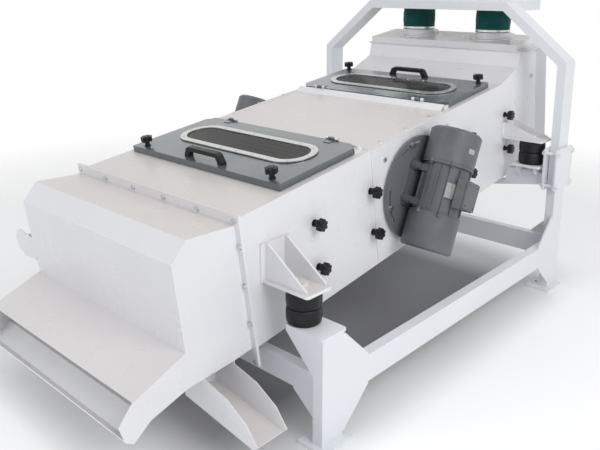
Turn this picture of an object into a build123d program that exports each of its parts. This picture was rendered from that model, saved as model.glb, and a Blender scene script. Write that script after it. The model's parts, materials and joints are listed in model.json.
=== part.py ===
from build123d import *
from math import cos, hypot, pi, radians, sin
import os

os.makedirs("parts", exist_ok=True)

# Millimetres. X to the right motor, Y from the outlet to the inlet, Z up from the floor.
# Y is zero at the front face of the front legs.

# Floor frame, welded from flat rectangular tube.
frame_half = 795.0
tube_deep = 112.0
tube_thick = 45.0
tube_wall = 4.0
rail_low = 160.0
rail_high = 270.0
post_front = 1851.0
post_back = post_front + tube_deep
post_top = 1227.0
portal_half_top = 447.0
portal_top = 1516.0
gusset_thick = 8.0
foot_thick = 12.0
foot_inner = 698.0
foot_outer = 828.0
anchor_x = 722.0
anchor_hole = 18.0

# Rubber springs, two lobes each.
spring_x = 648.0
spring_y_front = 65.0
spring_y_rear = 1860.0
spring_height = 125.0
spring_radius = 67.0
front_pad_top = 431.0
rear_seat_top = 680.0
plate_thick = 12.0

# Sieve box. Its own directions are u, up the slope, and v, square to the deck.
slope = 8.2
box_y = -46.0
box_z = 302.0
box_half = 500.0
box_length = 2350.0
deck_v = 530.0
sheet = 4.0
side_sheet = 5.0
hood_foot_u = 1890.0
hood_bend_u = 2075.0
hood_bend_v = 580.0
cap_foot_u = 2105.0
cap_v = 660.0

# Inlets.
inlet_x = 250.0
inlet_y = 2097.0
pipe_radius = 93.5
pipe_wall = 3.0
soft_gap = 0.3
cloth = 2.0

# Lids with their windows.
lid_half = 469.0
lid_low = 532.0
lid_high = 560.0
lid_wall = 3.0

# Vibrator motors.
motor_u = 1060.0
motor_v = 260.0
motor_lean = 32.8
disc_radius = 240.0
disc_thick = 12.0
motor_x = 640.0
cover_radius = 114.0
motor_length = 545.0
shaft_radius = 20.0
running_gap = 0.05

# Side knob columns and rows.
knob_columns = (385.0, 742.0, 1530.0, 1928.0)
knob_rows = (165.0, 356.0)

deck = Pos(0, box_y, box_z) * Rot(slope, 0, 0)

# The origin is on the floor, half way between the hood's nose and the box's rear foot.
nose_u = -573.0
nose_v = 50.0
nose_y = box_y + nose_u * cos(radians(slope)) - nose_v * sin(radians(slope))
tail_y = box_y + box_length * cos(radians(slope))
middle_y = (nose_y + tail_y) / 2


def block(x0, x1, y0, y1, z0, z1):
    size = Box(x1 - x0, y1 - y0, z1 - z0)
    return Pos((x0 + x1) / 2, (y0 + y1) / 2, (z0 + z1) / 2) * size


def tube(x0, x1, y0, y1, z0, z1):
    w = tube_wall
    return block(x0, x1, y0, y1, z0, z1) - block(x0 + w, x1 - w, y0 + w, y1 - w, z0 + w, z1 - w)


def flat(outline):
    return make_face(Polyline(*outline, close=True))


# An outline of (y, z) points run along X.
def along_x(outline, x0, x1):
    face = Plane(origin=(x0, 0, 0), x_dir=(0, 1, 0), z_dir=(1, 0, 0)) * flat(outline)
    return extrude(face, amount=x1 - x0, dir=(1, 0, 0))


# An outline of (x, z) points run along Y.
def along_y(outline, y0, y1):
    face = Plane(origin=(0, y0, 0), x_dir=(1, 0, 0), z_dir=(0, -1, 0)) * flat(outline)
    return extrude(face, amount=y1 - y0, dir=(0, 1, 0))


# The same open line moved square to itself, with mitred corners.
def moved_line(points, distance):
    normals = []
    for a, b in zip(points[:-1], points[1:]):
        run = hypot(b[0] - a[0], b[1] - a[1])
        normals.append(((a[1] - b[1]) / run, (b[0] - a[0]) / run))
    before = [normals[0]] + normals
    after = normals + [normals[-1]]
    moved = []
    for p, n, m in zip(points, before, after):
        share = distance / (1 + n[0] * m[0] + n[1] * m[1])
        moved.append((p[0] + (n[0] + m[0]) * share, p[1] + (n[1] + m[1]) * share))
    return moved


def strip(points, thick):
    return list(points) + moved_line(points, thick)[::-1]


def rod_x(x0, x1, y, z, radius):
    return Pos((x0 + x1) / 2, y, z) * Rot(0, 90, 0) * Cylinder(radius, x1 - x0)


def rod_z(x, y, z0, z1, radius):
    return Pos(x, y, (z0 + z1) / 2) * Cylinder(radius, z1 - z0)


def ring_z(x, y, z0, z1, outer, inner):
    return rod_z(x, y, z0, z1, outer) - rod_z(x, y, z0 - 1, z1 + 1, inner)


def hex_z(x, y, z0, height, across):
    face = RegularPolygon(across / 2, 6, major_radius=False)
    return Pos(x, y, z0) * extrude(face, amount=height)


def both(shape):
    return shape + mirror(shape, about=Plane.YZ)


def save(shape, name):
    export_step(Pos(0, -middle_y, 0) * shape, "parts/" + name + ".step")


def joined(shapes):
    whole = shapes[0]
    for shape in shapes[1:]:
        whole = whole + shape
    return whole


def bundle(shapes):
    solids = []
    for shape in shapes:
        solids.extend(shape.solids())
    return Compound(solids)


def rounded_plate(x0, x1, y0, y1, z0, z1, radius):
    face = Pos((x0 + x1) / 2, (y0 + y1) / 2, z0) * RectangleRounded(x1 - x0, y1 - y0, radius)
    return extrude(face, amount=z1 - z0, dir=(0, 0, 1))


# Floor frame.
def side_frame():
    inner = frame_half - tube_thick
    skin = frame_half - gusset_thick
    pad_low = front_pad_top - 10
    leg = tube(inner, frame_half, 0, tube_deep, foot_thick, pad_low)
    rail = tube(inner, frame_half, tube_deep, post_front, rail_low, rail_high)
    pad = rounded_plate(612, frame_half, 0, 131, pad_low, front_pad_top, 12)
    web = along_y([(inner, pad_low), (620, pad_low), (620, 408), (inner, 275)], 0, 8)
    parts = [leg, rail, pad, web]
    foot = rounded_plate(foot_inner, foot_outer, -25, 135, 0, foot_thick, 8)
    parts.append(foot - rod_z(anchor_x, 55, -1, foot_thick + 1, anchor_hole / 2))
    front = tube_deep
    back = post_front
    for outline in (
        [(front, rail_high), (front + 147, rail_high), (front + 147, 278), (front + 8, 415), (front, 415)],
        [(front, rail_low), (front + 150, rail_low), (front + 150, 152), (front + 8, 23), (front, 23)],
        [(back, rail_high), (back - 143, rail_high), (back - 143, 278), (back - 8, 410), (back, 410)],
        [(back, rail_low), (back - 130, rail_low), (back - 130, 152), (back - 8, 45), (back, 45)],
    ):
        parts.append(along_x(outline, skin, frame_half))
    return joined(parts)


def rear_portal():
    t = tube_thick
    outer = [
        (frame_half, foot_thick),
        (frame_half, post_top),
        (portal_half_top, portal_top),
        (-portal_half_top, portal_top),
        (-frame_half, post_top),
        (-frame_half, foot_thick),
    ]
    w = tube_wall
    bar = along_y(strip(outer, t), post_front, post_back)
    line = moved_line(outer, w)
    line[0] = (line[0][0], foot_thick + w)
    line[-1] = (line[-1][0], foot_thick + w)
    core = along_y(strip(line, t - 2 * w), post_front + w, post_back - w)
    foot = rounded_plate(foot_inner, foot_outer, 1803, post_back, 0, foot_thick, 8)
    foot = foot - rod_z(anchor_x, 1883, -1, foot_thick + 1, anchor_hole / 2)
    return bar - core + both(foot)


def cross_rails():
    x = frame_half - tube_thick
    front = tube(-x, x, 24, 69, 180, rail_high)
    front_web = along_y([(x, 180), (x - 118, 180), (x - 118, 172), (x - 8, 82), (x, 82)], 24, 32)
    rear = tube(-x, x, post_back - 45, post_back, rail_low, rail_high)
    edge = [(x, rail_high), (x - 110, rail_high), (x - 110, 278), (x - 8, 380), (x, 380)]
    rear_web = along_y(edge, post_back - 8, post_back)
    return [front + both(front_web), rear + both(rear_web)]


def inlet_gantry():
    low = portal_top - 48
    x = portal_half_top
    bars = both(tube(x - 45, x, post_back, 2269, low, portal_top))
    back = tube(45 - x, x - 45, 2224, 2269, low, portal_top)
    plate = block(-x, x, post_front + 20, 2269, portal_top, portal_top + 8)
    bores = []
    pipes = []
    for side in (-1, 1):
        cx = side * inlet_x
        pipes.append(rod_z(cx, inlet_y, 1450, 1575, pipe_radius))
        flange = rod_z(cx, inlet_y, 1567, 1575, pipe_radius + 30)
        for i in range(8):
            a = radians(45 * i + 22.5)
            r = pipe_radius + 19
            flange = flange - rod_z(cx + r * cos(a), inlet_y + r * sin(a), 1560, 1580, 4.5)
        pipes.append(flange)
        bores.append(rod_z(cx, inlet_y, 1440, 1580, pipe_radius - pipe_wall))
    return joined([plate, bars, back] + pipes) - joined(bores)


# A rubber buffer with two lobes and a waist, standing on z.
def buffer(x, y, z):
    half = spring_height / 2
    lobe = ThreePointArc((57, 0), (spring_radius, half / 2), (57, half))
    upper = ThreePointArc((57, half), (spring_radius, 1.5 * half), (57, 2 * half))
    ends = Polyline((57, 2 * half), (0, 2 * half), (0, 0), (57, 0))
    outline = make_face([lobe, upper, ends])
    face = Plane.XZ * outline
    return Pos(x, y, z) * revolve(face, axis=Axis.Z)


def spring_pair(y, z):
    room = block(spring_x - 90, spring_x + 90, y - 90, y + 90, z + soft_gap, z + spring_height - soft_gap)
    one = buffer(spring_x, y, z) & room
    return [one, mirror(one, about=Plane.YZ)]


# Rear support, clamped to the posts.
def rear_cross_beam():
    x = 737.0
    y0 = 1840.0
    y1 = 1890.0
    top = 640.0
    dip = 560.0
    low = [(737, 580), (400, 520), (0, 500)]
    belly = [(-x, top), (-530, top), (-515, dip), (515, dip), (530, top), (x, top)] + low
    belly += [(-400, 520), (-x, 580)]
    core = [(5 - x, top - 5), (-534, top - 5), (-519, dip - 5), (519, dip - 5), (534, top - 5), (x - 5, top - 5)]
    core += [(x - 5, 586), (399, 525), (0, 505), (-399, 525), (5 - x, 586)]
    beam = along_y(belly, y0, y1) - along_y(core, y0 + 5, y1 - 5)
    seat_low = rear_seat_top - plate_thick
    seat = rounded_plate(573, 723, 1790, 1930, seat_low, rear_seat_top, 10)
    webs = [block(cx - 5, cx + 5, 1800, 1920, top, seat_low) for cx in (600, 696)]
    brace = [(1800, seat_low), (1840, seat_low), (1840, 600), (1834, 600)]
    webs += [along_x(brace, cx - 5, cx + 5) for cx in (600, 696)]
    bolts = [Pos(cx, y0, 530) * Rot(90, 0, 0) * hex_z(0, 0, 0, 7, 19) for cx in (-60, 60)]
    return joined([beam, both(joined([seat] + webs))] + bolts)


def post_clamps():
    plates = []
    y0 = 1806.0
    y1 = 2004.0
    face = Plane(origin=(0, 0, 0), x_dir=(0, 1, 0), z_dir=(1, 0, 0))
    shape = face * (Pos((y0 + y1) / 2, 668.5) * RectangleRounded(y1 - y0, 223, 14))
    for x0 in (737.0, 798.0):
        plates.append(Pos(x0, 0, 0) * extrude(shape, amount=10, dir=(1, 0, 0)))
    clamp = joined(plates)
    for y in (1822.0, 1988.0):
        for z in (582.0, 755.0):
            clamp = clamp + rod_x(724, 822, y, z, 8)
            clamp = clamp + Pos(727, y, z) * Rot(0, 90, 0) * hex_z(0, 0, 0, 10, 24)
            clamp = clamp + Pos(808, y, z) * Rot(0, 90, 0) * hex_z(0, 0, 0, 11, 24)
    return [clamp, mirror(clamp, about=Plane.YZ)]


# Sieve box, drawn in its own directions and then leaned.
def sieve_rail(v):
    return block(455, box_half - side_sheet, 40, 2150, v - 26, v - 17.5)


def side_plate():
    outline = [
        (6, 0),
        (box_length, 0),
        (box_length, cap_v),
        (cap_foot_u, cap_v),
        (hood_bend_u, hood_bend_v),
        (hood_foot_u, deck_v),
        (6, deck_v),
    ]
    plate = along_x(outline, box_half - side_sheet, box_half)
    pad = rod_x(box_half, box_half + 8, motor_u, motor_v, disc_radius - 8)
    rear_strip = block(box_half, 560, 2296, 2302, 0, 655)
    rim = block(box_half, 530, 2120, 2296, 649, 655)
    seam = block(box_half, box_half + 3, 760, 788, 6, deck_v - 4)
    rails = [sieve_rail(v) for v in knob_rows]
    whole = joined([plate, pad, rear_strip, rim, seam] + rails)
    for u in knob_columns:
        for v in knob_rows:
            whole = whole - rod_x(480, 510, u, v, 5 + running_gap)
    return whole


def bottom_pan():
    inner = box_half - side_sheet
    floor = block(-inner, inner, 6, box_length, 0, sheet)
    rear = block(-inner, inner, box_length - sheet, box_length, 0, cap_v)
    ring = block(-522, 522, 0, 6, -62, 548) - block(-480, 480, -1, 7, 15, 515)
    return floor + rear + ring


lid_spans = ((252.0, 730.0), (1389.0, 1813.0))


# Sheet triangles that fill the room beside a lid's cut corners, a little lower than the lid.
def corner_filler(front, turn):
    x = lid_half
    gap = 4.0
    tip = front - turn * (lid_corner - gap)
    shapes = []
    for side in (-1, 1):
        outline = [(side * x, front), (side * (x - lid_corner + gap), front), (side * x, tip)]
        face = Pos(0, 0, deck_v) * make_face(Polyline(*outline, close=True))
        shapes.append(extrude(face, amount=16, dir=(0, 0, 1)))
    return joined(shapes)


def deck_cover():
    inner = box_half - side_sheet
    cover = block(-inner, inner, 6, hood_foot_u, deck_v - sheet, deck_v)
    for start, end in lid_spans:
        cover = cover + block(-440, 440, start + 32, end - 32, deck_v, 545)
        cover = cover - block(-436, 436, start + 36, end - 36, deck_v - 10, 550)
    panel = block(-488, 488, 760, 1350, deck_v, deck_v + 3)
    edge = block(-488, -462, 760, 1350, deck_v + 3, deck_v + 7)
    upstand = along_y([(-469, deck_v), (-469, 552), (455, 552), (469, 538), (469, deck_v)], 734, 746)
    ramp = [(1352, 530), (1352, 533), (1385, 556), (1385, 530), (1381, 530), (1381, 549), (1358, 533), (1358, 530)]
    corners = [corner_filler(734, 1), corner_filler(1385, -1)]
    return joined([cover, panel, edge, upstand, along_x(ramp, -lid_half, lid_half)] + corners)


def inlet_hood():
    inner = box_half - side_sheet
    skin = [(hood_foot_u, deck_v), (hood_bend_u, hood_bend_v), (cap_foot_u, cap_v)]
    shell = along_x(strip(skin, -sheet), -inner, inner) + block(-inner, inner, 2101, 2112, 655, cap_v)
    base = block(-box_half, box_half, 2094, 2356, cap_v, cap_v + sheet)
    tray = block(-485, 485, 2094, 2356, cap_v + sheet, 697) - block(-481, 481, 2098, 2352, cap_v + sheet, 693)
    rings = [rod_z(side * inlet_x, 2266, 697, 703, pipe_radius + 31) for side in (-1, 1)]
    body = deck * joined([shell, base, tray] + rings)
    for side in (-1, 1):
        body = body + rod_z(side * inlet_x, inlet_y, 1296, 1375, pipe_radius)
    for side in (-1, 1):
        body = body - rod_z(side * inlet_x, inlet_y, 1250, 1380, pipe_radius - pipe_wall)
    spreader = deck * along_x(strip([(2343, 560), (2125, 430), (2125, 400)], sheet), -inner, inner)
    return [body, spreader]


hood_top = [(-6, 509), (-214, 545), (-284, 483), (-289, 158), (-509, 105)]
hood_cheek = [(nose_u, nose_v), (-562, -15), (-534, -38), (-461, 3), (-308, 25), (-95, 12), (-6, 12)]


def outlet_hood():
    inner = box_half - sheet
    rise = (hood_top[1][1] - hood_top[0][1]) / (hood_top[1][0] - hood_top[0][0])
    root = (hood_top[0][0] + 4, hood_top[0][1] + 4 * rise)
    top = along_x(strip([root] + hood_top[1:], sheet), -inner, inner)
    bottom = along_x(strip(hood_cheek[1:][::-1], -sheet), -inner, inner)
    cheek = along_x(hood_top + hood_cheek, inner, box_half)
    ring = block(-522, 522, -6, 0, -62, 548) - block(-480, 480, -7, 1, 20, 500)
    whole = joined([top, bottom, both(cheek), ring])
    fines_hole = block(405, 485, -270, -130, -10, 40)
    overs_hole = block(-505, -490, -270, -160, 180, 290)
    return whole - fines_hole - overs_hole


def hood_envelope():
    return deck * along_x(hood_top + hood_cheek, -box_half, box_half)


def outlet_chutes():
    low = [(745, 130), (390, 180)]
    cheek = [(390, 310), (500, 310), (500, 287), (613, 262), (709, 210), (762, 146)] + low
    walls = [along_y(cheek, y, y + 3) for y in (-281, -143)]
    floor = along_y(strip(low, -3), -281, -140)
    back = along_y([(390, 180), (390, 310), (393, 310), (393, 180)], -281, -140)
    fines = joined(walls + [floor, back]) - hood_envelope()
    edge = [(-500, 474), (-590, 470), (-650, 492), (-670, 530), (-660, 565), (-630, 580), (-500, 560)]
    walls = [along_y(edge, y, y + 3) for y in (-365, -253)]
    floor = along_y(strip(edge[:4], 3), -365, -250)
    overs = joined(walls + [floor]) - hood_envelope()
    return [fines, overs]


def spring_brackets():
    brackets = []
    for y, z, high in ((spring_y_front, 556, 150), (spring_y_rear, 805, 85)):
        plate = rounded_plate(504, 725, y - 66, y + 66, z, z + plate_thick, 12)
        back = block(box_half, 508, y - 75, y + 75, z, z + high)
        top = z + plate_thick
        webs = []
        for dy in (-55, 47):
            edge = [(508, top), (708, top), (708, top + 8), (520, z + high), (508, z + high)]
            webs.append(along_y(edge, y + dy, y + dy + 8))
        bolt = hex_z(spring_x, y, top, 13, 30)
        one = joined([plate, back, bolt] + webs)
        brackets += [one, mirror(one, about=Plane.YZ)]
    return brackets


sieve_spans = ((60.0, 1090.0), (1100.0, 2130.0))


def sieves(v):
    frames = []
    for start, end in sieve_spans:
        bars = block(-490, 490, start, end, v - 16, v + 16)
        third = (end - start) / 3
        for i in range(3):
            u0 = start + i * third + (40 if i == 0 else 12)
            u1 = start + (i + 1) * third - (40 if i == 2 else 12)
            for x0, x1 in ((-450, -12), (12, 450)):
                bars = bars - block(x0, x1, u0, u1, v - 17, v + 17)
        mesh = block(-490, 490, start, end, v + 16, v + 17.5)
        tray = block(-490, 490, start, end, v - 17.5, v - 16)
        frames.append(deck * joined([bars, mesh, tray]))
    return frames


def cleaning_balls():
    balls = []
    radius = 15
    for v in knob_rows:
        for start, end in sieve_spans:
            for i in range(3):
                u = start + (end - start) * (2 * i + 1) / 6
                for x in (-330, -140, 140, 330):
                    place = Pos(x, u + (60 if x in (-140, 330) else -60), v - 16 + radius)
                    balls.append(deck * place * Sphere(radius))
    return balls


# A hinge barrel in thirds: the outer two stay on the box, the middle one turns with the lid.
hinge_v = 567.0
barrel = 6.0
pin = 3.0
hinges = ((732.0, (-320.0, 320.0), 1), (1387.0, (-320.0, 320.0), -1))


def hinge_leaf(x, u, turn):
    knuckles = rod_x(x - 35, x - 18, u, hinge_v, barrel) + rod_x(x + 18, x + 35, u, hinge_v, barrel)
    foot = 552 if turn > 0 else 556
    leaf = []
    for x0, x1 in ((x - 35, x - 18), (x + 18, x + 35)):
        near = u + 2 if turn > 0 else u - 6
        leaf.append(block(x0, x1, near, near + 4, foot, hinge_v))
    return joined([knuckles] + leaf + [rod_x(x - 35, x + 35, u, hinge_v, pin)])


def lid_knuckle(x, u, turn):
    knuckle = rod_x(x - 17.5, x + 17.5, u, hinge_v, barrel)
    reach = block(x - 17.5, x + 17.5, min(u, u - turn * 40), max(u, u - turn * 40), lid_high, lid_high + 3)
    return (knuckle + reach) - rod_x(x - 20, x + 20, u, hinge_v, pin + running_gap)


def hex_side(side, u, v, x, high, across):
    head = Pos(x, u, v) * Rot(0, 90, 0) * hex_z(0, 0, 0, high, across)
    return head if side > 0 else mirror(head, about=Plane.YZ)


def hex_front(x, v):
    return Pos(x, -6, v) * Rot(90, 0, 0) * hex_z(0, 0, 0, 7, 17)


slot_angles = (6.0, 96.0, 186.0, 276.0)
slot_radius = 212.0


def box_fasteners():
    bolts = []
    for side in (-1, 1):
        for u, v in ((851, 461), (1352, 464), (2236, 495)):
            bolts.append(hex_side(side, u, v, box_half, 8, 19))
        for v in (-44, 120, 275, 430):
            bolts.append(hex_front(side * 511, v))
        for angle in slot_angles:
            u = motor_u + slot_radius * cos(radians(angle))
            v = motor_v + slot_radius * sin(radians(angle))
            face = box_half + 8 + disc_thick
            shank = rod_x(box_half + 8, face, u, v, 6)
            shank = shank if side > 0 else mirror(shank, about=Plane.YZ)
            bolts.append(shank + hex_side(side, u, v, face, 9, 22))
        for u in (870, 1058, 1246):
            lift = 7 if side < 0 else 3
            bolts.append(hex_z(side * 470, u, deck_v + lift, 6, 17))
    for x in (-500, -300, -100, 100, 300, 500):
        bolts.append(hex_front(x, 528))
    for u, places, turn in hinges:
        for x in places:
            bolts.append(hinge_leaf(x, u, turn))
    return [deck * bolt for bolt in bolts]


# Lids.
def stadium(u, v0, v1, long, wide):
    face = Pos(0, u, v0) * SlotOverall(long, wide)
    return extrude(face, amount=v1 - v0, dir=(0, 0, 1))


ring_top = lid_high + 7
lid_corner = 42.0


# The lid's outline, moved inwards, with its two corners on the hinge side cut off.
def lid_block(start, end, turn, inset, v0, v1):
    near = start + inset
    far = end - inset
    x = lid_half - inset
    cut = lid_corner
    if turn < 0:
        near, far = far, near
        cut = -cut
    outline = [(-x, near), (x, near), (x, far - cut), (x - abs(cut), far), (abs(cut) - x, far), (-x, far - cut)]
    face = Pos(0, 0, v0) * make_face(Polyline(*outline, close=True))
    return extrude(face, amount=v1 - v0, dir=(0, 0, 1))


def lid_tray(start, end, window_u, knob_x, knob_u, hinge):
    w = lid_wall
    outer = lid_block(start, end, hinge[2], 0, lid_low, lid_high)
    tray = outer - lid_block(start, end, hinge[2], w, lid_low - 1, lid_high - w)
    tray = tray - stadium(window_u, lid_low, lid_high + 1, 712, 157)
    for side in (-1, 1):
        tray = tray - rod_z(side * knob_x, knob_u, lid_low, lid_high + 1, 5 + running_gap)
    u, places, turn = hinge
    for x in places:
        tray = tray + lid_knuckle(x, u, turn)
    return tray


def window_pane(u):
    return stadium(u, lid_high, lid_high + 3, 776, 221)


def window_ring(u):
    ring = stadium(u, lid_high + 3, ring_top, 780, 225) - stadium(u, lid_high, ring_top + 1, 720, 165)
    places = [(x, side * 97.5) for side in (-1, 1) for x in (-240, -144, -48, 48, 144, 240)]
    for side in (-1, 1):
        for angle in (-55, 0, 55):
            a = radians(angle)
            places.append((side * (278 + 97.5 * cos(a)), 97.5 * sin(a)))
    for x, y in places:
        ring = ring + rod_z(x, u + y, ring_top, ring_top + 3, 5)
    return ring


def bridge_handle(u):
    outer = [(-120, 0), (-120, 8), (-104, 40), (-90, 47), (90, 47), (104, 40), (120, 8), (120, 0)]
    inner = [(-92, -1), (-92, 8), (-82, 28), (82, 28), (92, 8), (92, -1)]
    bar = along_y(outer, -13, 13) - along_y(inner, -14, 14)
    return Pos(0, u, lid_high) * bar


# A seven-lobed star knob on its stud, standing on z = 0 and pointing up.
def star_knob(stud, stand):
    head = Cylinder(20, 22)
    for i in range(7):
        a = 2 * pi * i / 7
        head = head + Pos(18.5 * cos(a), 18.5 * sin(a), 0) * Cylinder(7.5, 22)
    head = Pos(0, 0, stand - 11) * head
    collar = rod_z(0, 0, 3, stand - 22, 11)
    washer = rod_z(0, 0, 0, 3, 15)
    boss = rod_z(0, 0, stand, stand + 2, 14)
    return joined([head, collar, washer, boss, rod_z(0, 0, -stud, 0, 5)])


# Vibrator motor, its axis on z through the middle of the housing.
motor_place = deck * Pos(0, 1067, 266) * Rot(-motor_lean, 0, 0)
body_half = 122.5
lug_angles = (-100.0, -50.0, 50.0, 100.0)


def motor_plate():
    face = Plane(origin=(0, 0, 0), x_dir=(0, 1, 0), z_dir=(1, 0, 0))
    disc = Circle(disc_radius) - Circle(14)
    for angle in slot_angles:
        disc = disc - SlotArc(CenterArc((0, 0), slot_radius, angle - 20.5, 41), 12.4)
    plate = extrude(face * disc, amount=disc_thick, dir=(1, 0, 0))
    return deck * Pos(box_half + 8, motor_u, motor_v) * plate


def motor_housing():
    x = motor_x
    body = rod_z(x, 0, -body_half, body_half, 100)
    for i in range(14):
        angle = 360 * i / 14
        if 140 < angle < 220 or angle < 25 or angle > 335:
            continue
        fin = block(95, 109, -2.5, 2.5, -100, 100)
        body = body + Pos(x, 0, 0) * Rot(0, 0, angle) * fin
    for z in (-body_half, body_half - 14):
        body = body + rod_z(x, 0, z, z + 14, 112)
    face = box_half + 8 + disc_thick
    body = body + block(face, face + 16, -105, 105, -105, 105)
    for z in (-92, 62):
        body = body + block(face + 16, x, -92, 92, z, z + 30)
    body = body + block(x + 80, 738, -45, 45, -50, 50) + block(738, 780, -56, 56, -64, 64)
    body = body + block(780, 790, -52, 52, -60, 60)
    body = body + Pos(758, 56, 0) * Rot(-90, 0, 0) * rod_z(0, 0, 0, 18, 12)
    bore = rod_z(x, 0, -body_half - 1, body_half + 1, shaft_radius + running_gap)
    room = rod_z(x, 0, -108, 108, 88)
    stator = ring_z(x, 0, -80, 80, 88, 62.5)
    hollow = block(742, 776, -52, 52, -60, 60)
    body = (body - bore - room - hollow) + stator
    for y in (-98, 98):
        for z in (-77, 77):
            lug = rod_x(face, face + 34, y, z, 19)
            bolt = Pos(face + 34, y, z) * Rot(0, 90, 0) * hex_z(0, 0, 0, 12, 26)
            body = body + lug + bolt
    for z, turn in ((-body_half, 0), (body_half - 14, 1)):
        for angle in lug_angles:
            a = radians(angle)
            ear = rod_z(x + 112 * cos(a), 112 * sin(a), z, z + 14, 11)
            body = body + ear
            base = z + 14 if turn == 0 else z - 7
            body = body + hex_z(x + 113 * cos(a), 113 * sin(a), base, 7, 13)
    return motor_place * body


def motor_covers():
    covers = []
    half = motor_length / 2
    for side in (-1, 1):
        a = body_half * side
        b = half * side
        low = min(a, b)
        high = max(a, b)
        shell = rod_z(motor_x, 0, low, high, cover_radius)
        shell = chamfer(shell.edges().filter_by(GeomType.CIRCLE).sort_by(Axis.Z)[-1 if side > 0 else 0], 10)
        inside = (a, b - 5) if side > 0 else (b + 5, a)
        shell = shell - rod_z(motor_x, 0, inside[0], inside[1], cover_radius - 5)
        covers.append(motor_place * shell)
    return covers


def motor_rotor():
    x = motor_x
    rotor = rod_z(x, 0, -255, 255, shaft_radius) + rod_z(x, 0, -78, 78, 60)
    for side in (-1, 1):
        a = side * (body_half + 0.5)
        b = side * (body_half + 14)
        rotor = rotor + rod_z(x, 0, min(a, b), max(a, b), 30)
        a = side * 150
        b = side * 225
        weight = rod_z(x, 0, min(a, b), max(a, b), 98)
        weight = weight & block(x - 100, x + 100, -100, 22, -300, 300)
        rotor = rotor + weight
    return motor_place * rotor


def sleeves():
    inner = pipe_radius + soft_gap
    return [ring_z(side * inlet_x, inlet_y, 1342, 1500, inner + cloth, inner) for side in (-1, 1)]


def bands(z):
    outer = pipe_radius + 2 * soft_gap + cloth
    return [ring_z(side * inlet_x, inlet_y, z, z + 12, outer + 2, outer) for side in (-1, 1)]


def flipped(shape):
    return mirror(shape, about=Plane.YZ)


def all_flipped(shapes):
    return [flipped(shape) for shape in shapes]


right_side = side_frame()
save(right_side, "side_frame_right")
save(flipped(right_side), "side_frame_left")
save(rear_portal(), "rear_portal")
save(bundle(cross_rails()), "cross_rails")
save(inlet_gantry(), "inlet_gantry")
save(bundle(spring_pair(spring_y_front, front_pad_top)), "front_springs")
save(bundle(bands(1484)), "sleeve_bands_upper")

save(rear_cross_beam(), "rear_cross_beam")
save(bundle(post_clamps()), "post_clamps")
save(bundle(spring_pair(spring_y_rear, rear_seat_top)), "rear_springs")

right_plate = deck * side_plate()
save(right_plate, "side_plate_right")
save(flipped(right_plate), "side_plate_left")
save(deck * bottom_pan(), "bottom_pan")
save(deck * deck_cover(), "deck_cover")
save(bundle(inlet_hood()), "inlet_hood")
save(deck * outlet_hood(), "outlet_hood")
save(bundle(outlet_chutes()), "outlet_chutes")
save(bundle(spring_brackets()), "spring_brackets")
save(bundle(sieves(knob_rows[1])), "upper_sieves")
save(bundle(sieves(knob_rows[0])), "lower_sieves")
save(bundle(cleaning_balls()), "cleaning_balls")
save(bundle(box_fasteners()), "box_fasteners")
save(bundle(bands(1346)), "sleeve_bands_lower")
save(bundle(sleeves()), "inlet_sleeves")

lids = (
    ("front", lid_spans[0], 520.0, 400.0, 285.0, 290.0, hinges[0]),
    ("rear", lid_spans[1], 1603.0, 430.0, 1780.0, 1775.0, hinges[1]),
)
for name, span, window_u, knob_x, knob_u, handle_u, hinge in lids:
    save(deck * lid_tray(span[0], span[1], window_u, knob_x, knob_u, hinge), name + "_lid_tray")
    save(deck * window_pane(window_u), name + "_lid_window")
    save(deck * window_ring(window_u), name + "_lid_ring")
    save(deck * bridge_handle(handle_u), name + "_lid_handle")
    knob = deck * Pos(knob_x, knob_u, lid_high) * star_knob(12, 44)
    save(knob, name + "_lid_knob_right")
    save(flipped(knob), name + "_lid_knob_left")

for column, u in enumerate(knob_columns):
    for row, v in enumerate(knob_rows):
        knob = deck * Pos(box_half, u, v) * Rot(0, 90, 0) * star_knob(10, 48)
        tail = "_" + str(column + 1) + ("_low" if row == 0 else "_high")
        save(knob, "side_knob_right" + tail)
        save(flipped(knob), "side_knob_left" + tail)

motor = (
    ("motor_plate", [motor_plate()]),
    ("motor_housing", [motor_housing()]),
    ("motor_covers", motor_covers()),
    ("motor_rotor", [motor_rotor()]),
)
for name, shapes in motor:
    save(bundle(shapes), name + "_right")
    save(bundle(all_flipped(shapes)), name + "_left")
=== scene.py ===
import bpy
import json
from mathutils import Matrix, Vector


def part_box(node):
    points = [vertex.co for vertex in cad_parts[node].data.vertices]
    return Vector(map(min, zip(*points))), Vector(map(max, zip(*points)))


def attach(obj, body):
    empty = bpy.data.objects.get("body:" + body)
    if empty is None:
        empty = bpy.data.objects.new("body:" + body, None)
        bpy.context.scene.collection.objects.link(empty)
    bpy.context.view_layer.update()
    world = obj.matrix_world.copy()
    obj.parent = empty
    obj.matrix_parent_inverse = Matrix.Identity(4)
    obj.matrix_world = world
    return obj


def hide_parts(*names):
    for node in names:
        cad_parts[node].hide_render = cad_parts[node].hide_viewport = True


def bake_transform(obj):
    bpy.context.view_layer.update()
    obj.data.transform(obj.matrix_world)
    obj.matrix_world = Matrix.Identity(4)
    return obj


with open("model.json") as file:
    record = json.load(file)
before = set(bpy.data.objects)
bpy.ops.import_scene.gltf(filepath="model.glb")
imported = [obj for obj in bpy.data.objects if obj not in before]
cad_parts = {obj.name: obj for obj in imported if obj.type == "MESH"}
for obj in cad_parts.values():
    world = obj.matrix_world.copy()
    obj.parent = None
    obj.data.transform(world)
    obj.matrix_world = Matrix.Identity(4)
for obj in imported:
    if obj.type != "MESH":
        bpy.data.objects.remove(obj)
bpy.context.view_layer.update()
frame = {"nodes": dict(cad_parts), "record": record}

import json
import math
import bmesh
import bpy
from mathutils import Matrix, Vector, noise


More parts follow.
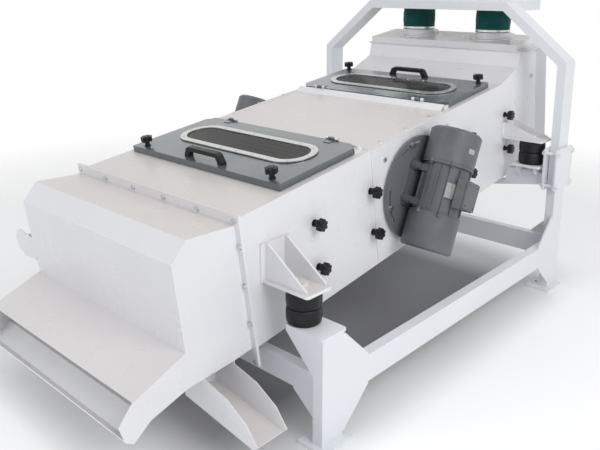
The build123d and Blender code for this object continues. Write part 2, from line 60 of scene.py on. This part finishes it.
# Materials. Every pattern is read from object coordinates in metres.
def newMaterial(name):
    material = bpy.data.materials.new(name)
    material.use_nodes = True
    nodes = material.node_tree.nodes
    links = material.node_tree.links
    return material, nodes, links, nodes["Principled BSDF"]


def objectCoords(nodes):
    return nodes.new("ShaderNodeTexCoord").outputs["Object"]


def addNoise(nodes, links, coords, scale, detail=4.0, rough=0.55):
    pattern = nodes.new("ShaderNodeTexNoise")
    pattern.inputs["Scale"].default_value = scale
    pattern.inputs["Detail"].default_value = detail
    pattern.inputs["Roughness"].default_value = rough
    links.new(coords, pattern.inputs["Vector"])
    return pattern.outputs["Fac"]


def addRange(nodes, links, value, fromLow, fromHigh, toLow, toHigh):
    band = nodes.new("ShaderNodeMapRange")
    band.inputs["From Min"].default_value = fromLow
    band.inputs["From Max"].default_value = fromHigh
    band.inputs["To Min"].default_value = toLow
    band.inputs["To Max"].default_value = toHigh
    links.new(value, band.inputs["Value"])
    return band.outputs["Result"]


def addMix(nodes, links, factor, first, second):
    mix = nodes.new("ShaderNodeMix")
    mix.data_type = "RGBA"
    links.new(factor, mix.inputs[0])
    for socket, colour in ((mix.inputs[6], first), (mix.inputs[7], second)):
        if isinstance(colour, tuple):
            socket.default_value = (*colour, 1.0)
        else:
            links.new(colour, socket)
    return mix.outputs[2]


def addBump(nodes, links, bsdf, height, strength, distance, under=None):
    bump = nodes.new("ShaderNodeBump")
    bump.inputs["Strength"].default_value = strength
    bump.inputs["Distance"].default_value = distance
    links.new(height, bump.inputs["Height"])
    if under is not None:
        links.new(under, bump.inputs["Normal"])
    links.new(bump.outputs["Normal"], bsdf.inputs["Normal"])
    return bump.outputs["Normal"]


def stretched(nodes, links, coords, scale):
    mapping = nodes.new("ShaderNodeMapping")
    mapping.inputs["Scale"].default_value = scale
    links.new(coords, mapping.inputs["Vector"])
    return mapping.outputs["Vector"]


def scaled(colour, share):
    return tuple(min(1.0, part * share) for part in colour)


# Coated sheet: faint cloudiness, painted warm light on faces that look up, orange-peel grain.
def makePaint(name, colour, roughness, grain=0.03, paintedTopLight=(0.60, 0.51, 0.44), paintedTopLightAmount=0.0, coat=0.0):
    material, nodes, links, bsdf = newMaterial(name)
    coords = objectCoords(nodes)
    cloud = addRange(nodes, links, addNoise(nodes, links, coords, 2.3), 0.3, 0.7, 0.0, 1.0)
    base = addMix(nodes, links, cloud, scaled(colour, 0.965), scaled(colour, 1.02))
    # Faces that look up are tinted warm: painted light on the tops.
    geometry = nodes.new("ShaderNodeNewGeometry")
    split = nodes.new("ShaderNodeSeparateXYZ")
    links.new(geometry.outputs["Normal"], split.inputs["Vector"])
    paintedTopLightShare = addRange(nodes, links, split.outputs["Z"], 0.85, 1.0, 0.0, paintedTopLightAmount)
    links.new(addMix(nodes, links, paintedTopLightShare, base, paintedTopLight), bsdf.inputs["Base Color"])
    stain = addNoise(nodes, links, coords, 9.0, 5.0)
    sheen = addRange(nodes, links, stain, 0.3, 0.7, roughness - 0.05, roughness + 0.07)
    links.new(sheen, bsdf.inputs["Roughness"])
    bsdf.inputs["Coat Weight"].default_value = coat
    bsdf.inputs["Coat Roughness"].default_value = 0.12
    wave = addBump(nodes, links, bsdf, addNoise(nodes, links, coords, 7.0, 2.0), 0.05, 0.004)
    addBump(nodes, links, bsdf, addNoise(nodes, links, coords, 160.0, 1.0), grain, 0.0002, wave)
    return material


# Cast housing under paint: a coarse pitted skin and patches of darker and lighter tone.
def makeCasting(name, colour, roughness):
    material, nodes, links, bsdf = newMaterial(name)
    coords = objectCoords(nodes)
    patch = addRange(nodes, links, addNoise(nodes, links, coords, 11.0, 6.0), 0.3, 0.7, 0.0, 1.0)
    tint = addMix(nodes, links, patch, scaled(colour, 0.86), scaled(colour, 1.12))
    links.new(tint, bsdf.inputs["Base Color"])
    skin = addNoise(nodes, links, coords, 60.0)
    sheen = addRange(nodes, links, skin, 0.3, 0.7, roughness - 0.06, roughness + 0.1)
    links.new(sheen, bsdf.inputs["Roughness"])
    cell = nodes.new("ShaderNodeTexVoronoi")
    cell.inputs["Scale"].default_value = 520.0
    links.new(coords, cell.inputs["Vector"])
    under = addBump(nodes, links, bsdf, cell.outputs["Distance"], 0.18, 0.0006)
    addBump(nodes, links, bsdf, addNoise(nodes, links, coords, 45.0), 0.12, 0.002, under)
    return material


# Brushed or turned steel: fine lines drawn along one direction.
def makeSteel(name, colour, roughness, lines=(900.0, 14.0, 900.0)):
    material, nodes, links, bsdf = newMaterial(name)
    coords = objectCoords(nodes)
    grain = addNoise(nodes, links, stretched(nodes, links, coords, lines), 1.0, 3.0)
    share = addRange(nodes, links, grain, 0.3, 0.7, 0.0, 1.0)
    tint = addMix(nodes, links, share, scaled(colour, 0.9), scaled(colour, 1.06))
    links.new(tint, bsdf.inputs["Base Color"])
    sheen = addRange(nodes, links, grain, 0.3, 0.7, roughness - 0.06, roughness + 0.1)
    links.new(sheen, bsdf.inputs["Roughness"])
    bsdf.inputs["Metallic"].default_value = 1.0
    addBump(nodes, links, bsdf, grain, 0.08, 0.0003)
    return material


def makeRubber(name, colour, roughness):
    material, nodes, links, bsdf = newMaterial(name)
    coords = objectCoords(nodes)
    bloom = addRange(nodes, links, addNoise(nodes, links, coords, 24.0, 6.0), 0.4, 0.75, 0.0, 1.0)
    links.new(addMix(nodes, links, bloom, colour, scaled(colour, 1.9)), bsdf.inputs["Base Color"])
    sheen = addRange(nodes, links, bloom, 0.0, 1.0, roughness - 0.06, roughness + 0.14)
    links.new(sheen, bsdf.inputs["Roughness"])
    bsdf.inputs["Specular IOR Level"].default_value = 0.32
    addBump(nodes, links, bsdf, addNoise(nodes, links, coords, 700.0, 2.0), 0.08, 0.0003)
    return material


def makeWood(name, light, dark):
    material, nodes, links, bsdf = newMaterial(name)
    coords = objectCoords(nodes)
    grain = addNoise(nodes, links, stretched(nodes, links, coords, (60.0, 2.5, 60.0)), 1.0, 5.0)
    share = addRange(nodes, links, grain, 0.3, 0.7, 0.0, 1.0)
    links.new(addMix(nodes, links, share, dark, light), bsdf.inputs["Base Color"])
    links.new(addRange(nodes, links, grain, 0.3, 0.7, 0.5, 0.7), bsdf.inputs["Roughness"])
    addBump(nodes, links, bsdf, grain, 0.2, 0.0006)
    return material


# Clear pane with a faint film of dust.
def makePane(name):
    material, nodes, links, bsdf = newMaterial(name)
    coords = objectCoords(nodes)
    film = addRange(nodes, links, addNoise(nodes, links, coords, 13.0, 6.0), 0.35, 0.8, 0.03, 0.16)
    links.new(film, bsdf.inputs["Roughness"])
    tint = addRange(nodes, links, addNoise(nodes, links, coords, 5.0), 0.3, 0.7, 0.0, 1.0)
    links.new(addMix(nodes, links, tint, (0.16, 0.16, 0.16), (0.21, 0.21, 0.20)), bsdf.inputs["Base Color"])
    bsdf.inputs["Alpha"].default_value = 0.18
    bsdf.inputs["IOR"].default_value = 1.49
    addBump(nodes, links, bsdf, addNoise(nodes, links, coords, 4.0), 0.04, 0.002)
    return material


# Dense woven cloth, its threads read from the piece's own UV map.
def makeCloth(name, colour, roughness):
    material, nodes, links, bsdf = newMaterial(name)
    uv = nodes.new("ShaderNodeTexCoord").outputs["UV"]
    coords = objectCoords(nodes)
    split = nodes.new("ShaderNodeSeparateXYZ")
    links.new(uv, split.inputs["Vector"])
    waves = []
    for axis in ("X", "Y"):
        turn = nodes.new("ShaderNodeMath")
        turn.operation = "MULTIPLY"
        turn.inputs[1].default_value = 2 * math.pi * 700.0
        links.new(split.outputs[axis], turn.inputs[0])
        wave = nodes.new("ShaderNodeMath")
        wave.operation = "SINE"
        links.new(turn.outputs[0], wave.inputs[0])
        waves.append(wave.outputs[0])
    weave = nodes.new("ShaderNodeMath")
    weave.operation = "MULTIPLY"
    links.new(waves[0], weave.inputs[0])
    links.new(waves[1], weave.inputs[1])
    shade = addRange(nodes, links, addNoise(nodes, links, coords, 21.0, 5.0), 0.3, 0.7, 0.0, 1.0)
    tint = addMix(nodes, links, shade, scaled(colour, 0.88), scaled(colour, 1.1))
    links.new(tint, bsdf.inputs["Base Color"])
    bsdf.inputs["Roughness"].default_value = roughness
    bsdf.inputs["Specular IOR Level"].default_value = 0.2
    bsdf.inputs["Sheen Weight"].default_value = 0.1
    under = addBump(nodes, links, bsdf, weave.outputs[0], 0.25, 0.0004)
    addBump(nodes, links, bsdf, addNoise(nodes, links, coords, 38.0), 0.25, 0.002, under)
    return material


# Perforated sheet: round holes on a square grid, painted dark as the shade seen through them.
def makeSieve(name, colour, holeShade):
    material, nodes, links, bsdf = newMaterial(name)
    coords = objectCoords(nodes)
    cell = nodes.new("ShaderNodeTexVoronoi")
    cell.inputs["Scale"].default_value = 150.0
    cell.inputs["Randomness"].default_value = 0.0
    links.new(coords, cell.inputs["Vector"])
    rim = addRange(nodes, links, cell.outputs["Distance"], 0.30, 0.36, 0.0, 1.0)
    links.new(addMix(nodes, links, rim, holeShade, colour), bsdf.inputs["Base Color"])
    wear = addNoise(nodes, links, coords, 14.0, 5.0)
    links.new(addRange(nodes, links, wear, 0.3, 0.7, 0.42, 0.6), bsdf.inputs["Roughness"])
    addBump(nodes, links, bsdf, rim, 0.3, 0.0008)
    return material


finishes = {
    "framePaint": (0.80, 0.82, 0.86),
    "boxPaint": (0.82, 0.82, 0.85),
    "lidPaint": (0.085, 0.108, 0.124),
    "platePaint": (0.155, 0.160, 0.175),
    "motorPaint": (0.120, 0.124, 0.140),
    "rubber": (0.007, 0.007, 0.008),
    "plastic": (0.006, 0.006, 0.007),
    "cloth": (0.002, 0.075, 0.068),
}

materials = {
    "frame_paint": makePaint("framePaint", finishes["framePaint"], 0.34),
    # The box's upward faces carry the painted warm light.
    "box_paint": makePaint("boxPaint", finishes["boxPaint"], 0.30, paintedTopLightAmount=0.52),
    "lid_paint": makePaint("lidPaint", finishes["lidPaint"], 0.27, coat=0.7),
    "plate_paint": makePaint("platePaint", finishes["platePaint"], 0.38, 0.05),
    "motor_paint": makeCasting("motorPaint", finishes["motorPaint"], 0.42),
    "spring_rubber": makeRubber("springRubber", finishes["rubber"], 0.42),
    "knob_plastic": makeRubber("knobPlastic", finishes["plastic"], 0.36),
    "window": makePane("windowPane"),
    "stainless": makeSteel("stainless", (0.62, 0.62, 0.61), 0.26),
    "zinc_bolt": makeSteel("zincBolt", (0.66, 0.67, 0.68), 0.3, (300.0, 300.0, 300.0)),
    "sieve_wood": makeWood("sieveWood", (0.46, 0.30, 0.16), (0.27, 0.16, 0.08)),
    "ball_rubber": makeRubber("ballRubber", (0.45, 0.42, 0.36), 0.5),
    "shaft_steel": makeSteel("shaftSteel", (0.55, 0.55, 0.56), 0.28),
    "sleeve_cloth": makeCloth("sleeveCloth", finishes["cloth"], 0.7),
}
# The dark second colour is painted shade inside the holes.
sieveSheet = makeSieve("sieveSheet", (0.30, 0.20, 0.14), (0.05, 0.035, 0.03))
print("materials ready")


# Every CAD node takes its slot's material and softly broken edges.
edgeBreak = {
    "width": 0.0012,
    "thinWidth": 0.0006,
    "thin": ("deck_cover", "outlet_chutes", "inlet_hood", "outlet_hood", "bottom_pan"),
    "none": ("cleaning_balls", "sleeve_bands_lower", "sleeve_bands_upper"),
    "soft": ("front_lid_handle", "rear_lid_handle", "motor_housing_right", "motor_housing_left",
             "motor_covers_right", "motor_covers_left"),
    "softWidth": 0.0025,
}
nodeSlots = {part["node"]: part["material_slot"] for part in frame["record"]["subparts"]}


def dressNode(node):
    thing = frame["nodes"][node]
    thing.data.materials.clear()
    thing.data.materials.append(materials[nodeSlots[node]])
    if node in edgeBreak["none"]:
        return
    bevel = thing.modifiers.new("edges", "BEVEL")
    bevel.width = edgeBreak["thinWidth"] if node in edgeBreak["thin"] else edgeBreak["width"]
    if node in edgeBreak["soft"]:
        bevel.width = edgeBreak["softWidth"]
    bevel.segments = 2
    bevel.limit_method = "ANGLE"
    bevel.angle_limit = math.radians(40)
    bevel.use_clamp_overlap = True


# The large faces of the sieves that look up are perforated sheet.
sieveFaces = {
    "nodes": ("upper_sieves", "lower_sieves"),
    "leastUp": 0.9,
    "leastArea": 0.02,
}


def sheetSieve(node):
    data = frame["nodes"][node].data
    data.materials.append(sieveSheet)
    for face in data.polygons:
        if face.normal.z > sieveFaces["leastUp"] and face.area > sieveFaces["leastArea"]:
            face.material_index = 1


for nodeName in frame["nodes"]:
    dressNode(nodeName)
for nodeName in sieveFaces["nodes"]:
    sheetSieve(nodeName)
print("nodes dressed", len(frame["nodes"]))


def finishMesh(mesh, name, material, smooth=True):
    bmesh.ops.recalc_face_normals(mesh, faces=mesh.faces)
    data = bpy.data.meshes.new(name)
    mesh.to_mesh(data)
    mesh.free()
    for face in data.polygons:
        face.use_smooth = smooth
    thing = bpy.data.objects.new(name, data)
    bpy.context.scene.collection.objects.link(thing)
    data.materials.append(material)
    return thing


# A closed outline of (radius, z) spun round the vertical line through (x, y).
def spunMesh(profile, x, y, steps):
    mesh = bmesh.new()
    verts = [mesh.verts.new((x + r, y, z)) for r, z in profile]
    edges = [mesh.edges.new((a, b)) for a, b in zip(verts[:-1], verts[1:])]
    bmesh.ops.spin(
        mesh, geom=verts + edges, cent=(x, y, 0), axis=(0, 0, 1), dvec=(0, 0, 0),
        angle=2 * math.pi, steps=steps, use_duplicate=False,
    )
    bmesh.ops.remove_doubles(mesh, verts=mesh.verts, dist=1e-5)
    return mesh


# Rubber springs: two bulging lobes with a moulded rim at each end.
springs = {
    "x": 0.648,
    "frontLow": 0.4313,
    "frontHigh": 0.5557,
    "rearLow": 0.6803,
    "rearHigh": 0.8047,
    "lobe": 0.0668,
    "waist": 0.058,
    "rim": 0.0565,
    "steps": 64,
}
frontY = (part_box("front_springs")[0][1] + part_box("front_springs")[1][1]) / 2
rearY = (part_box("rear_springs")[0][1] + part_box("rear_springs")[1][1]) / 2


def lobeProfile(low, high, rimLow, rimHigh):
    points = [(0.0, low), (rimLow - 0.002, low), (rimLow, low + 0.002)]
    middle = (low + high) / 2
    for i in range(1, 16):
        angle = math.pi * i / 16
        base = rimLow + (rimHigh - rimLow) * i / 16
        bulge = (springs["lobe"] - base) * math.sin(angle) ** 0.62
        points.append((base + bulge, low + (high - low) * (1 - math.cos(angle)) / 2))
    points += [(rimHigh, high - 0.002), (rimHigh - 0.002, high), (0.0, high)]
    return points


def addLobe(name, x, y, low, high, rimLow, rimHigh):
    mesh = spunMesh(lobeProfile(low, high, rimLow, rimHigh), x, y, springs["steps"])
    piece = finishMesh(mesh, name, materials["spring_rubber"])
    return piece


for sideName, sign in (("right", 1), ("left", -1)):
    x = sign * springs["x"]
    for place, y, low, high in (
        ("front", frontY, springs["frontLow"], springs["frontHigh"]),
        ("rear", rearY, springs["rearLow"], springs["rearHigh"]),
    ):
        middle = (low + high) / 2
        names = [place + part + sideName for part in ("SpringLower_", "SpringUpper_")]
        lower = addLobe(names[0], x, y, low, middle, springs["rim"], springs["waist"])
        upper = addLobe(names[1], x, y, middle, high, springs["waist"], springs["rim"])
        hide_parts(place + "_springs")
        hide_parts(place + "_springs")
        if place == "front":
            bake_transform(lower)
            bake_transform(upper)
        else:
            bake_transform(lower)
            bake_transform(upper)
print("springs built")


# Inlet sleeves: tubes of cloth, gathered a little under the bands.
sleeve = {
    "x": 0.25,
    "radius": 0.0939,
    "thick": 0.0016,
    "low": 1.342,
    "high": 1.500,
    "freeLow": 1.372,
    "freeHigh": 1.453,
    "ease": 0.02,
    "upperGrip": 1.484,
    "lowerGrip": 1.358,
    "folds": 9,
    "fold": 0.0016,
    "around": 144,
    "rows": 40,
}
sleeveY = (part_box("inlet_sleeves")[0][1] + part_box("inlet_sleeves")[1][1]) / 2
middleZ = (sleeve["low"] + sleeve["high"]) / 2


def addSleeve(name, x, low, high):
    rows = sleeve["rows"]
    mesh = bmesh.new()
    circle = bmesh.ops.create_circle(
        mesh, cap_ends=False, segments=sleeve["around"], radius=sleeve["radius"],
    )
    bmesh.ops.translate(mesh, verts=circle["verts"], vec=(x, sleeveY, low))
    edges = list(mesh.edges)
    for i in range(rows):
        grown = bmesh.ops.extrude_edge_only(mesh, edges=edges)["geom"]
        verts = [g for g in grown if isinstance(g, bmesh.types.BMVert)]
        edges = [g for g in grown if isinstance(g, bmesh.types.BMEdge)]
        bmesh.ops.translate(mesh, verts=verts, vec=(0, 0, (high - low) / rows))
    uvLayer = mesh.loops.layers.uv.new("UVMap")
    for face in mesh.faces:
        angles = [math.atan2(loop.vert.co.y - sleeveY, loop.vert.co.x - x) for loop in face.loops]
        wide = max(angles) - min(angles) > math.pi
        for loop, angle in zip(face.loops, angles):
            turned = angle + 2 * math.pi if wide and angle < 0 else angle
            loop[uvLayer].uv = (turned * sleeve["radius"], loop.vert.co.z)
    for vert in mesh.verts:
        angle = math.atan2(vert.co.y - sleeveY, vert.co.x - x)
        aboveBand = min(1.0, max(0.0, (vert.co.z - sleeve["freeLow"]) / sleeve["ease"]))
        belowBand = min(1.0, max(0.0, (sleeve["freeHigh"] - vert.co.z) / sleeve["ease"]))
        free = aboveBand * belowBand
        slack = math.sin(sleeve["folds"] * angle + 5 * noise.noise((x, vert.co.z * 9, 0.3)))
        fine = noise.noise(Vector((math.cos(angle) * 3, math.sin(angle) * 3, vert.co.z * 34 + x)))
        grow = 1 + free * (sleeve["fold"] * (1.0 + slack) + 0.0014 * fine) / sleeve["radius"]
        vert.co.x = x + (vert.co.x - x) * grow
        vert.co.y = sleeveY + (vert.co.y - sleeveY) * grow
    piece = finishMesh(mesh, name, materials["sleeve_cloth"])
    solid = piece.modifiers.new("cloth", "SOLIDIFY")
    solid.thickness = sleeve["thick"]
    solid.offset = 1.0
    return piece


for sideName, sign in (("right", 1), ("left", -1)):
    x = sign * sleeve["x"]
    upper = addSleeve("sleeveUpper_" + sideName, x, middleZ, sleeve["high"])
    lower = addSleeve("sleeveLower_" + sideName, x, sleeve["low"], middleZ)
    for piece in (upper, lower):
        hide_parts("inlet_sleeves")
    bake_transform(upper)
    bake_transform(lower)
print("sleeves built")


# Bare plates on the motors, and the screws of the terminal box.
tags = {
    "nameplate": {"radius": 0.1099, "angle": -38.6, "along": 0.0, "wide": 0.050, "high": 0.066},
    "coverPlate": {"radius": 0.1147, "angle": -14.0, "along": 0.190, "wide": 0.036, "high": 0.022},
    "thick": 0.0006,
    "screwSpots": ((-0.038, -0.046), (-0.038, 0.046), (0.038, -0.046), (0.038, 0.046)),
    "screwRadius": 0.0042,
    "screwHigh": 0.0012,
    "lidFace": 0.150,
}
plateSteel = makeSteel("bareNameplate", (0.42, 0.42, 0.42), 0.34, (300.0, 300.0, 300.0))
platePale = makePaint("barePlate", (0.80, 0.80, 0.80), 0.35)
screwDark = makeRubber("screwSocket", (0.012, 0.012, 0.013), 0.4)


def motorPlace(side, sign):
    joint = next(j for j in frame["record"]["behaviour"]["joints"] if j["name"] == "rotor_spin_" + side)
    center = Vector(joint["pos_m"])
    along = Vector(joint["axis"]).normalized()
    out = Vector((sign, 0, 0))
    across = Vector((0, along.z, -along.y))
    return center, out, across, along


def addTag(name, place, tag, material):
    center, out, across, along = place
    steps = 8
    mesh = bmesh.new()
    rows = []
    for i in range(steps + 1):
        turn = math.radians(tag["angle"]) + (i / steps - 0.5) * tag["wide"] / tag["radius"]
        foot = center + (out * math.cos(turn) + across * math.sin(turn)) * tag["radius"]
        ends = (tag["along"] - tag["high"] / 2, tag["along"] + tag["high"] / 2)
        rows.append([mesh.verts.new(foot + along * end) for end in ends])
    for first, second in zip(rows[:-1], rows[1:]):
        mesh.faces.new((first[0], second[0], second[1], first[1]))
    bmesh.ops.solidify(mesh, geom=list(mesh.faces), thickness=tags["thick"])
    return finishMesh(mesh, name, material, smooth=False)


def addScrews(name, place):
    center, out, across, along = place
    mesh = bmesh.new()
    for side, rise in tags["screwSpots"]:
        spot = center + out * tags["lidFace"] + across * side + along * rise
        turn = Vector((0, 0, 1)).rotation_difference(out).to_matrix().to_4x4()
        bmesh.ops.create_cone(
            mesh, cap_ends=True, segments=20, depth=tags["screwHigh"], radius1=tags["screwRadius"],
            radius2=tags["screwRadius"] * 0.9, matrix=Matrix.Translation(spot) @ turn,
        )
    return finishMesh(mesh, name, screwDark, smooth=False)


for sideName, sign in (("right", 1), ("left", -1)):
    place = motorPlace(sideName, sign)
    for piece in (
        addTag("nameplate_" + sideName, place, tags["nameplate"], plateSteel),
        addTag("coverPlate_" + sideName, place, tags["coverPlate"], platePale),
        addScrews("boxScrews_" + sideName, place),
    ):
        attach(piece, "motor_" + sideName)
print("motor plates built")


# Floor with a painted shadow under the machine, background, lamps and camera.
studio = {
    "floorColour": (0.94, 0.94, 0.94),
    "floorGlow": 0.16,
    "floorFade": (2.6, 4.6),
    # A painted shadow: grey floor beneath the machine, within the X and Y ranges below.
    "floorPaintedShadow": (0.30, 0.30, 0.31),
    "paintedShadowX": (0.45, 0.95),
    "paintedShadowY": (0.9, 1.5),
    "worldLight": 0.52,
    "eye": (2.194, -2.4469, 1.605),
    "azimuth": 42.95,
    "down": 13.62,
    "lens": 41.6,
    "shiftY": -0.12,
}
lamps = {
    "key": {"place": (4.6, -1.2, 3.9), "target": (0, 0, 0.6), "size": 3.2, "power": 118.0},
    "fill": {"place": (-2.0, -5.0, 3.0), "target": (0, -0.6, 0.6), "size": 3.0, "power": 48.0},
    "top": {"place": (-0.6, 0.6, 5.2), "target": (0, 0, 0.8), "size": 3.6, "power": 22.0},
}


def addFloor():
    mesh = bmesh.new()
    bmesh.ops.create_grid(mesh, x_segments=1, y_segments=1, size=30.0)
    material, nodes, links, bsdf = newMaterial("floor")
    coords = objectCoords(nodes)
    grain = addRange(nodes, links, addNoise(nodes, links, coords, 1.5), 0.3, 0.7, 0.0, 1.0)
    tint = addMix(nodes, links, grain, scaled(studio["floorColour"], 0.99), studio["floorColour"])
    split = nodes.new("ShaderNodeSeparateXYZ")
    links.new(coords, split.inputs["Vector"])
    # Painted shadow: the floor turns grey under the machine, and its glow fades out there.
    paintedShadowShares = []
    for axis, band in (("X", studio["paintedShadowX"]), ("Y", studio["paintedShadowY"])):
        size = nodes.new("ShaderNodeMath")
        size.operation = "ABSOLUTE"
        links.new(split.outputs[axis], size.inputs[0])
        paintedShadowShares.append(addRange(nodes, links, size.outputs[0], band[0], band[1], 1.0, 0.0))
    under = nodes.new("ShaderNodeMath")
    under.operation = "MULTIPLY"
    links.new(paintedShadowShares[0], under.inputs[0])
    links.new(paintedShadowShares[1], under.inputs[1])
    links.new(addMix(nodes, links, under.outputs[0], tint, studio["floorPaintedShadow"]), bsdf.inputs["Base Color"])
    bsdf.inputs["Roughness"].default_value = 0.75
    bsdf.inputs["Specular IOR Level"].default_value = 0.1
    bsdf.inputs["Emission Color"].default_value = (1, 1, 1, 1)
    glow = addRange(nodes, links, under.outputs[0], 0.0, 1.0, studio["floorGlow"], 0.0)
    links.new(glow, bsdf.inputs["Emission Strength"])
    length = nodes.new("ShaderNodeVectorMath")
    length.operation = "LENGTH"
    links.new(coords, length.inputs[0])
    nearFade, farFade = studio["floorFade"]
    fade = addRange(nodes, links, length.outputs["Value"], nearFade, farFade, 0.0, 1.0)
    clear = nodes.new("ShaderNodeBsdfTransparent")
    mix = nodes.new("ShaderNodeMixShader")
    links.new(fade, mix.inputs[0])
    links.new(bsdf.outputs[0], mix.inputs[1])
    links.new(clear.outputs[0], mix.inputs[2])
    links.new(mix.outputs[0], nodes["Material Output"].inputs["Surface"])
    floor = finishMesh(mesh, "floor", material, smooth=False)


def addWorld():
    world = bpy.data.worlds.new("studio")
    bpy.context.scene.world = world
    world.use_nodes = True
    nodes = world.node_tree.nodes
    links = world.node_tree.links
    rays = nodes.new("ShaderNodeLightPath")
    seen = nodes.new("ShaderNodeMath")
    seen.operation = "MAXIMUM"
    through = nodes.new("ShaderNodeMath")
    through.operation = "MAXIMUM"
    links.new(rays.outputs["Is Glossy Ray"], through.inputs[0])
    links.new(rays.outputs["Is Transmission Ray"], through.inputs[1])
    links.new(rays.outputs["Is Camera Ray"], seen.inputs[0])
    links.new(through.outputs[0], seen.inputs[1])
    white = nodes.new("ShaderNodeBackground")
    white.inputs["Color"].default_value = (1, 1, 1, 1)
    white.inputs["Strength"].default_value = 1.0
    soft = nodes["Background"]
    soft.inputs["Color"].default_value = (0.97, 0.985, 1.0, 1)
    soft.inputs["Strength"].default_value = studio["worldLight"]
    mix = nodes.new("ShaderNodeMixShader")
    links.new(seen.outputs[0], mix.inputs[0])
    links.new(soft.outputs[0], mix.inputs[1])
    links.new(white.outputs[0], mix.inputs[2])
    links.new(mix.outputs[0], nodes["World Output"].inputs["Surface"])


def addLamp(name, place, target, size, power):
    data = bpy.data.lights.new(name, "AREA")
    data.shape = "DISK"
    data.size = size
    data.energy = power
    lamp = bpy.data.objects.new(name, data)
    lamp.location = place
    lamp.rotation_euler = (Vector(target) - Vector(place)).to_track_quat("-Z", "Y").to_euler()
    bpy.context.scene.collection.objects.link(lamp)


def addCamera():
    data = bpy.data.cameras.new("camera")
    data.sensor_width = 36.0
    data.lens = studio["lens"]
    data.shift_y = studio["shiftY"]
    camera = bpy.data.objects.new("camera", data)
    camera.location = studio["eye"]
    camera.rotation_euler = (math.radians(90 - studio["down"]), 0, math.radians(studio["azimuth"]))
    bpy.context.scene.collection.objects.link(camera)
    bpy.context.scene.camera = camera


addFloor()
addWorld()
for lampName, lamp in lamps.items():
    addLamp(lampName, lamp["place"], lamp["target"], lamp["size"], lamp["power"])
addCamera()
bpy.context.scene.view_settings.view_transform = "Standard"
print("studio ready")
